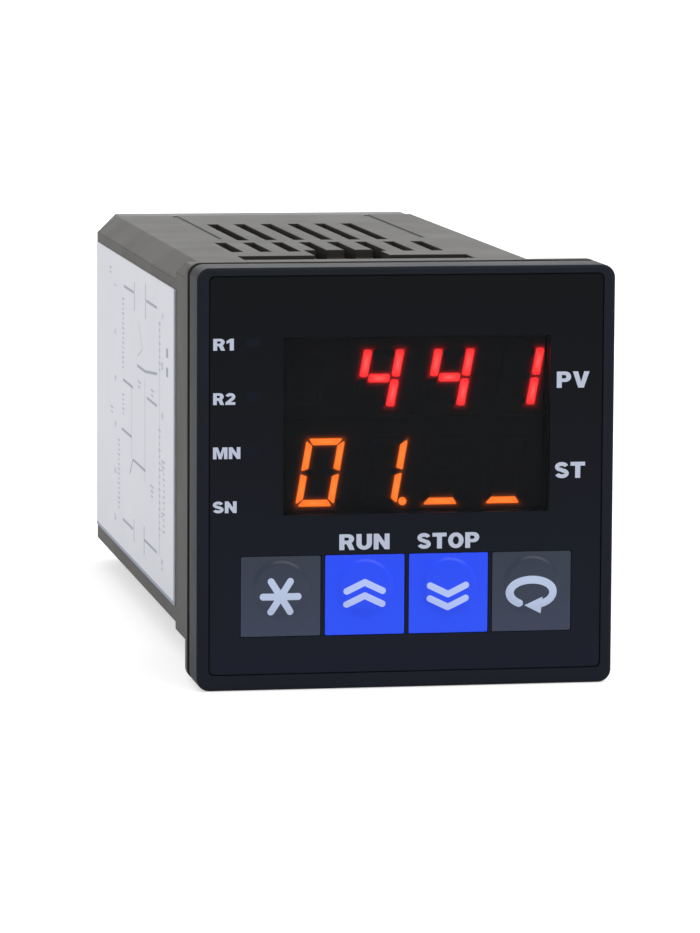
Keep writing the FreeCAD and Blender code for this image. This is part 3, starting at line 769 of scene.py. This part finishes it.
def spilled_light(across, up, bars):
    """Light on a display's face: exp(-d / reach), where d is the distance to the nearest lit bar."""
    points = np.stack([across.ravel(), up.ravel()], -1)[:, None, :]
    best = np.full(len(points), np.inf)
    for corners in bars:
        start = corners[None]
        ahead = np.roll(corners, -1, 0)[None] - start
        from_start = points - start
        share = np.clip((from_start * ahead).sum(-1) / (ahead ** 2).sum(-1), 0, 1)
        away = np.linalg.norm(from_start - share[..., None] * ahead, axis=-1).min(1)
        cross = ahead[..., 0] * from_start[..., 1] - ahead[..., 1] * from_start[..., 0]
        best = np.minimum(best, np.where((cross > 0).all(1), 0.0, away))
    return np.exp(-best / GLOW_REACH)


def display_front(display, bars_node, name, material):
    """A display's thin printed face, a grid whose points carry the light spilled on them."""
    low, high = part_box(display)
    x = np.linspace(low.x, high.x, 220)
    z = np.linspace(low.z, high.z, 76)
    across, up = np.meshgrid(x, z)
    light = spilled_light(across, up, bar_corners(bars_node))
    front = np.stack([across, np.full(across.shape, low.y - FACE_THICKNESS), up], -1)
    back = front + [0, FACE_THICKNESS, 0]
    points = np.concatenate([front.reshape(-1, 3), back.reshape(-1, 3)])
    rows, columns = across.shape
    at = np.arange(rows * columns).reshape(rows, columns)
    quads = np.stack([at[:-1, :-1], at[:-1, 1:], at[1:, 1:], at[1:, :-1]], -1).reshape(-1, 4)
    rim = np.concatenate([at[0, :-1], at[:-1, -1], at[-1, :0:-1], at[:0:-1, 0]])
    skirt = np.stack([rim, np.roll(rim, -1), np.roll(rim, -1) + at.size, rim + at.size], -1)
    faces = quads.tolist() + (quads + at.size).tolist() + skirt.tolist()
    mesh = closed_mesh(name, points, faces, {"spill": np.concatenate([light, light])})
    return make_piece(name, mesh, material, "display_housing")


def arc(middle, across, up, start, end, count=12):
    """Points of an elliptic arc: middle + (across cos a, up sin a), from start to end degrees."""
    a = np.radians(np.linspace(start, end, count))
    return [(middle[0] + across * c, middle[1] + up * s) for c, s in zip(np.cos(a), np.sin(a))]


def ribbon(path, width):
    """Outline of a stroke: the path moved half the width along its normal to each side."""
    line = np.array(path)
    ahead = np.gradient(line, axis=0)
    ahead /= np.linalg.norm(ahead, axis=1)[:, None]
    side = np.stack([-ahead[:, 1], ahead[:, 0]], -1) * width / 2
    return [tuple(p) for p in np.concatenate([line + side, (line - side)[::-1]])]


# Heavy block letters one unit tall: each is a list of parts, and a part is its outline and its holes
BLOCK_LETTERS = {
    "R": [[[(0, 0), (0, 1), (0.5, 1), *arc((0.5, 0.7), 0.34, 0.3, 85, -55),
            (0.87, 0), (0.57, 0), (0.41, 0.37), (0.29, 0.37), (0.29, 0)],
           [(0.29, 0.79), (0.43, 0.79), *arc((0.43, 0.69), 0.12, 0.1, 85, -85), (0.29, 0.59)]]],
    "P": [[[(0, 0), (0, 1), (0.52, 1), *arc((0.52, 0.68), 0.34, 0.32, 85, -85),
            (0.52, 0.36), (0.3, 0.36), (0.3, 0)],
           [(0.3, 0.79), (0.45, 0.79), *arc((0.45, 0.68), 0.12, 0.11, 85, -85), (0.3, 0.57)]]],
    "U": [[[(0, 1), *arc((0.45, 0.4), 0.45, 0.42, 180, 360, 20), (0.9, 1), (0.6, 1),
            *arc((0.45, 0.4), 0.15, 0.18, 360, 180), (0.3, 1)]]],
    "N": [[[(0, 0), (0, 1), (0.28, 1), (0.62, 0.47), (0.62, 1), (0.9, 1), (0.9, 0), (0.63, 0),
            (0.28, 0.54), (0.28, 0)]]],
    "T": [[[(0, 1), (0.86, 1), (0.86, 0.76), (0.58, 0.76), (0.58, 0), (0.28, 0), (0.28, 0.76),
            (0, 0.76)]]],
    "V": [[[(0.33, 0), (0, 1), (0.32, 1), (0.5, 0.34), (0.68, 1), (1, 1), (0.67, 0)]]],
    "O": [[arc((0.49, 0.5), 0.49, 0.52, 0, 350, 36), arc((0.49, 0.5), 0.19, 0.27, 0, 345, 24)]],
    "S": [[ribbon(arc((0.42, 0.715), 0.29, 0.185, 12, 262, 18)
                  + arc((0.44, 0.285), 0.3, 0.185, 82, -168, 18), 0.25)]],
    "M": [[[(0, 0), (0, 1), (0.38, 1), (0.56, 0.42), (0.74, 1), (1.12, 1), (1.12, 0), (0.85, 0),
            (0.85, 0.68), (0.67, 0), (0.45, 0), (0.27, 0.68), (0.27, 0)]]],
    "1": [[[(0.24, 0), (0.24, 0.68), (0, 0.56), (0, 0.8), (0.3, 1), (0.54, 1), (0.54, 0)]]],
    "2": [[ribbon(arc((0.4, 0.69), 0.27, 0.2, 168, -40, 18), 0.26)],
          [[(0, 0), (0.8, 0), (0.8, 0.23), (0.42, 0.23), (0.71, 0.47), (0.5, 0.64), (0, 0.2)]]],
}


def flat_curve(loops):
    """A filled flat curve of closed outlines; an outline inside another is a hole."""
    curve = bpy.data.curves.new("outline", "CURVE")
    curve.dimensions = "2D"
    curve.fill_mode = "BOTH"
    for loop in loops:
        line = curve.splines.new("POLY")
        line.points.add(len(loop) - 1)
        for point, place in zip(line.points, loop):
            point.co = (*place, 0, 1)
        line.use_cyclic_u = True
    return curve


def plain_letter(character):
    """A letter of Blender's own font as a curve."""
    curve = bpy.data.curves.new("letter", "FONT")
    curve.body = character
    curve.resolution_u = 6
    return curve


def solid_arrays(curve):
    """A flat curve drawn out to a thickness of 1, as an array of points and a list of faces."""
    curve.extrude = 0.5
    holder = bpy.data.objects.new("outline", curve)
    bpy.context.scene.collection.objects.link(holder)
    mesh = bpy.data.meshes.new_from_object(holder)
    points = np.array([v.co for v in mesh.vertices])
    faces = [list(face.vertices) for face in mesh.polygons]
    bpy.data.objects.remove(holder)
    bpy.data.meshes.remove(mesh)
    bpy.data.curves.remove(curve)
    return points, faces


def joined_arrays(parts):
    """Pairs of points and faces as one pair: each part's faces count on from the points before."""
    points, faces, count = [], [], 0
    for spots, polygons in parts:
        points.append(spots)
        faces += [[i + count for i in polygon] for polygon in polygons]
        count += len(spots)
    return np.concatenate(points), faces


def glyph(character, block):
    """A letter as points and faces: one unit tall, from 0 across, and 0 to 1 thick."""
    if block:
        curves = [flat_curve(part) for part in BLOCK_LETTERS[character]]
    else:
        curves = [plain_letter(character)]
    points, faces = joined_arrays([solid_arrays(curve) for curve in curves])
    points[:, :2] -= points[:, :2].min(0)
    points[:, 2] += 0.5
    points[:, :2] /= points[:, 1].max()
    return points, faces


def word_arrays(text, block, spacing):
    """The letters of a word side by side, as one array of points and one list of faces."""
    letters, start = [], 0.0
    for character in text:
        points, faces = glyph(character, block)
        letters.append((points + [start, 0, 0], faces))
        start += points[:, 0].max() + spacing
    return joined_arrays(letters)


def print_words(name, words, face, material, slot, block=False, spacing=0.12):
    """Words as thin raised ink on a flat face.

    A word is (text, (across, up) of its middle, width or None, height). The face is its origin
    and its directions across, up and outward; a point is origin + across*a + up*b + outward*t.
    """
    origin, across, up, outward = [np.array(v, float) for v in face]
    parts = []
    for text, middle, width, height in words:
        spots, polygons = word_arrays(text, block, spacing)
        wide = width or height * spots[:, 0].max()
        a = (spots[:, 0] / spots[:, 0].max() - 0.5) * wide + middle[0]
        b = (spots[:, 1] - 0.5) * height + middle[1]
        t = spots[:, 2] * INK_THICKNESS
        placed = origin + a[:, None] * across + b[:, None] * up + t[:, None] * outward
        parts.append((placed, polygons))
    mesh = closed_mesh(name, *joined_arrays(parts))
    return make_piece(name, mesh, material, slot)


def ruled_lines(name, lines, face, width, material, slot):
    """Straight thin strokes on a flat face: each line's two ends moved half the width to each side."""
    origin, across, up, outward = [np.array(v, float) for v in face]
    lines = np.array(lines, float)
    start, end = lines[:, :2], lines[:, 2:]
    ahead = end - start
    ahead /= np.linalg.norm(ahead, axis=1)[:, None]
    side = np.stack([-ahead[:, 1], ahead[:, 0]], -1) * width / 2
    flat = np.stack([start - side, start + side, end + side, end - side], 1)
    base = origin + flat[..., :1] * across + flat[..., 1:] * up
    points = np.concatenate([base, base + INK_THICKNESS * outward], 1)
    corners = np.array([[0, 1, 2, 3], [4, 5, 6, 7],
                        [0, 1, 5, 4], [1, 2, 6, 5], [2, 3, 7, 6], [3, 0, 4, 7]])
    faces = (corners[None] + 8 * np.arange(len(lines))[:, None, None]).reshape(-1, 4).tolist()
    mesh = closed_mesh(name, points, faces)
    return make_piece(name, mesh, material, slot)


def mark_column(at, top, bottom, step, reach):
    """A column of short dashes from top to bottom, each third one longer, in millimetres."""
    dashes = []
    for i in range(round((top - bottom) / step)):
        up = top - (i + 0.5) * step
        wide = reach * (1.4 if i % 3 == 0 else 0.8 + 0.2 * (i % 2))
        dashes.append((at - wide / 2, up, at + wide / 2, up))
    return dashes


# The front: frame, film, window, print and keys
soft_copy("bezel_frame", 0.1 * MM, bezel_plastic, "bezel_plastic")
dress("front_overlay", film)
dress("display_window", window_smoke)

front_face = ((0, film_front, 0), (1, 0, 0), (0, 0, 1), (0, -1, 0))
front_words = []
words_left = -22.18 * MM
for word, width, lamp in zip(("R1", "R2", "MN", "SN"), (2.34, 2.52, 3.11, 2.7), LAMPS):
    up = middle_of("indicator_lamp_" + lamp).z - 0.2 * MM
    front_words.append((word, (words_left + width * MM / 2, up), width * MM, 1.33 * MM))
pv_middle, st_middle = middle_of("pv_lit_segments"), middle_of("st_lit_segments")
run_key, stop_key = middle_of("key_pad_up"), middle_of("key_pad_down")
front_words += [
    ("PV", (19.16 * MM, pv_middle.z - 0.24 * MM), 3.8 * MM, 1.86 * MM),
    ("ST", (18.91 * MM, st_middle.z + 0.08 * MM), 3.5 * MM, 1.84 * MM),
    ("RUN", (run_key.x - 0.07 * MM, run_key.z + 6.05 * MM), 5.78 * MM, 1.8 * MM),
    ("STOP", (stop_key.x - 0.04 * MM, stop_key.z + 6.02 * MM), 7.15 * MM, 1.8 * MM),
]
print_words("front_print", front_words, front_face, text_ink, "overlay_film", block=True, spacing=0.1)

key_marks = {"star": star_mark, "up": chevron_mark("up", (1.46, -0.06), 1, 0.06),
             "down": chevron_mark("down", (-0.09, -1.58), -1, 0.1), "cycle": cycle_mark}
for key in KEYS:
    blue = key in ("up", "down")
    colours = KEY_BLUE if blue else KEY_GREY
    key_film = printed_film("key_film_" + key, *colours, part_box("key_pad_" + key), 0.34, 0.28,
                            marks=key_marks[key], ink=BLUE_KEY_INK if blue else SYMBOL_INK)
    key_pad(key, key_film)

# The displays
for display, bars, slot, radius in (("pv", red_bars, "segment_red_lit", 0.3 * MM),
                                    ("st", orange_bars, "segment_orange_lit", 0.12 * MM)):
    light_bars(display + "_lit_segments", display + "_lit_bars", bars, slot, radius)
    light_bars(display + "_dark_segments", display + "_dark_bars", dark_bars, "segment_dark", radius)
display_front("pv_display", "pv_lit_segments", "pv_face", pv_face)
display_front("st_display", "st_lit_segments", "st_face", st_face)

# The case and the rear
soft_copy("case_sleeve", 0.16 * MM, case_plastic, "case_plastic")
soft_copy("terminal_block", 0.12 * MM, terminal_plastic, "terminal_plastic")
soft_copy("terminal_screws", 0.06 * MM, screw_metal, "nickel_steel", segments=2, sharp=40)

# Pieces inside
for key in KEYS:
    soft_copy("switch_body_" + key, 0.12 * MM, switch_plastic, "switch_black", segments=2)
    soft_copy("switch_plunger_" + key, 0.12 * MM, switch_plastic, "switch_black", segments=2)
for display in ("pv_display", "st_display"):
    soft_copy(display, 0.1 * MM, housing_plastic, "display_housing", segments=2)
for lamp in LAMPS:
    soft_copy("indicator_lamp_" + lamp, 0.05 * MM, lamp_resin, "lamp_resin", segments=2, sharp=50)
for node in ("relay_upper", "relay_lower"):
    soft_copy(node, 0.2 * MM, relay_plastic, "relay_case")
for node in ("power_socket", "main_socket"):
    soft_copy(node, 0.12 * MM, socket_plastic, "socket_black", segments=2)
for node in ("bridge_rectifier", "converter_chip", "processor_chip", "input_chip", "driver_chip"):
    soft_copy(node, 0.12 * MM, chip_plastic, "chip_black", segments=2)
soft_copy("transformer_bobbin", 0.1 * MM, bobbin_plastic, "bobbin_nylon", segments=2)
for node in ("bulk_capacitor", "filter_capacitor"):
    soft_copy(node, 0.5 * MM, sleeved_can(node), "capacitor_sleeve", sharp=50)
for node in ("display_board", "power_board", "main_board"):
    dress(node, board_green)
dress("transformer_core", steel_laminations())
dress("transformer_winding", copper_winding())
dress("fuse", ceramic_fuse())
dress("terminal_plates", plate_metal)
dress("side_label", label_paper())

# The label's wiring diagram, in millimetres behind the panel plane and above the middle
label_face = ((label_low.x, 0, 0), (0, 1, 0), (0, 0, 1), (-1, 0, 0))
contacts = [
    (55.2, 15.6, 64.5, 15.6), (34.2, 15.6, 43.6, 15.6), (44.3, 6.8, 51.9, 6.8),
    (55.9, 3.6, 65.4, 3.6), (34.1, 3.7, 42.9, 3.7), (57.2, -2.8, 66.7, -2.8),
    (44.3, -5.5, 55.9, -5.5), (56.0, -14.3, 65.5, -14.3), (34.1, -14.2, 45.5, -14.2),
    (54.6, 16.9, 54.6, 13.4), (44.2, 17.7, 44.2, 13.3), (54.9, -12.9, 54.9, -15.8),
    (45.5, -12.5, 45.5, -16.1), (44.3, 6.8, 34.1, 7.6), (55.9, -5.5, 58.8, -7.6),
]
wires = [
    (44.9, 5.9, 44.9, -7.0), (57.2, 3.6, 57.2, -5.5), (50.6, 12.4, 47.2, 9.2),
    (47.2, 9.2, 51.6, 8.0), (31.7, 14.3, 31.7, -14.2),
]
ruled_lines("label_contacts", np.array(contacts) * MM, label_face, 0.34 * MM, label_ink, "label_paper")
ruled_lines("label_wires", np.array(wires) * MM, label_face, 0.16 * MM, faint_ink, "label_paper")
# Painted shade: dark bluish lines along the label's front and lower edges.
edge_shade_width = 0.4 * MM
front_edge_shade = (label_low.y + edge_shade_width / 2, label_low.z + edge_shade_width, label_low.y + edge_shade_width / 2, label_high.z)
foot_edge_shade = (label_low.y, label_low.z + edge_shade_width / 2, label_high.y, label_low.z + edge_shade_width / 2)
ruled_lines("label_edge_shade", [front_edge_shade, foot_edge_shade], label_face, edge_shade_width, label_edge_shade_ink, "label_paper")

note_columns = [
    (65.3, 14.2, 5.2, 0.62, 1.5), (65.3, 2.0, -0.9, 0.6, 1.4), (69.5, -4.3, -13.3, 0.62, 1.5),
    (31.7, 14.3, 7.6, 0.8, 1.0), (31.7, 1.4, -12.4, 0.8, 1.1), (28.0, -2.1, -11.2, 0.7, 1.2),
    (77.8, 17.2, 15.9, 0.6, 1.6), (76.5, -0.8, -2.2, 0.6, 1.6), (38.2, 5.4, 4.2, 0.6, 2.0),
    (50.0, 5.2, 3.9, 0.6, 2.0), (38.5, -6.4, -8.0, 0.6, 2.2),
]
notes = sum([mark_column(*column) for column in note_columns], [])
ruled_lines("label_notes", np.array(notes) * MM, label_face, 0.26 * MM, faint_ink, "label_paper")
squares = [(24.4, 11.0, 26.0, 11.0), (24.4, 8.7, 26.0, 8.7)]
ruled_lines("label_keys", np.array(squares) * MM, label_face, 1.1 * MM, label_ink, "label_paper")

# Terminal numbers: on the label, where they stand upright when the front is up, and on the rear face
number_face = ((label_low.x, 0, 0), (0, 0, 1), (0, -1, 0), (-1, 0, 0))
rear_face = ((0, rear_end, 0), (-1, 0, 0), (0, 0, 1), (0, 1, 0))
number_row, number_height = 7.6 * MM, 2.0 * MM
pitch = (screw_high.z - screw_low.z - SCREW_HEAD) / (ROWS - 1)
label_words, rear_words = [], []
for i in range(ROWS):
    number, opposite = str(i + 1), str(i + 1 + ROWS)
    along = (15.0 - 6.0 * i) * MM
    label_words.append((number, (along, -73.0 * MM), None, 1.5 * MM))
    label_words.append((opposite, (along, -29.4 * MM), None, 1.5 * MM))
    up = ((ROWS - 1) / 2 - i) * pitch
    rear_words.append((number, (number_row, up), None, number_height))
    rear_words.append((opposite, (-number_row, up), None, number_height))
print_words("label_numbers", label_words, number_face, faint_ink, "label_paper")
print_words("terminal_numbers", rear_words, rear_face, number_ink, "terminal_plastic")


def studio():
    """A white floor, a white surround that lights evenly, and two large soft lamps."""
    floor_mesh = bpy.data.meshes.new("floor")
    reach = 5.0
    z = cad_low.z - FLOOR_GAP
    corners = [(-reach, -reach, z), (reach, -reach, z), (reach, reach, z), (-reach, reach, z)]
    floor_mesh.from_pydata(corners, [], [(0, 1, 2, 3)])
    floor = bpy.data.objects.new("floor", floor_mesh)
    bpy.context.scene.collection.objects.link(floor)
    paint = Paint("floor_white")
    floor_mesh.materials.append(paint.finish({
        "Base Color": (0.7, 0.7, 0.7, 1.0),
        "Roughness": 0.9,
        "Specular IOR Level": 0.0,
        "Emission Color": paint.mixed(BLACK, WHITE, paint.seen()),
        "Emission Strength": 0.55,
    }))

    world = bpy.data.worlds.new("surround")
    bpy.context.scene.world = world
    world.use_nodes = True
    nodes = Nodes(world.node_tree)
    background = world.node_tree.nodes["Background"].inputs
    background["Color"].default_value = WHITE
    nodes.put(background["Strength"], SURROUND + (1 - SURROUND) * nodes.seen())

    for name, place, size, power in LAMP_TABLE:
        light = bpy.data.lights.new(name, "AREA")
        light.size = size
        light.energy = power
        holder = bpy.data.objects.new(name, light)
        bpy.context.scene.collection.objects.link(holder)
        holder.location = place
        holder.rotation_euler = (-Vector(place)).to_track_quat("-Z", "Y").to_euler()


def camera():
    """The photograph's own view: a long lens from the front, a little left and above.

    The three angles are in radians, and come with the place and the lens from a fit to the
    photograph's edges.
    """
    yaw, pitch, roll = -0.177018, -0.123850, -0.005459
    cy, sy, cp, sp, cr, sr = [f(a) for a in (yaw, pitch, roll) for f in (math.cos, math.sin)]
    turn = Matrix(((cy, -sy, 0), (sy, cy, 0), (0, 0, 1)))
    tilt = Matrix(((1, 0, 0), (0, cp, -sp), (0, sp, cp)))
    lean = Matrix(((cr, 0, sr), (0, 1, 0), (-sr, 0, cr)))
    right, ahead, up = (turn @ tilt @ lean).transposed()
    data = bpy.data.cameras.new("camera")
    data.sensor_width = 36.0
    data.lens = 189.922
    data.clip_start = 0.01
    data.clip_end = 20.0
    holder = bpy.data.objects.new("camera", data)
    bpy.context.scene.collection.objects.link(holder)
    place = Matrix((right, up, -ahead)).transposed().to_4x4()
    place.translation = (-0.103675, -0.552206, 0.070075)
    holder.matrix_world = place
    bpy.context.scene.camera = holder


studio()
camera()
bpy.context.scene.view_settings.view_transform = "Standard"
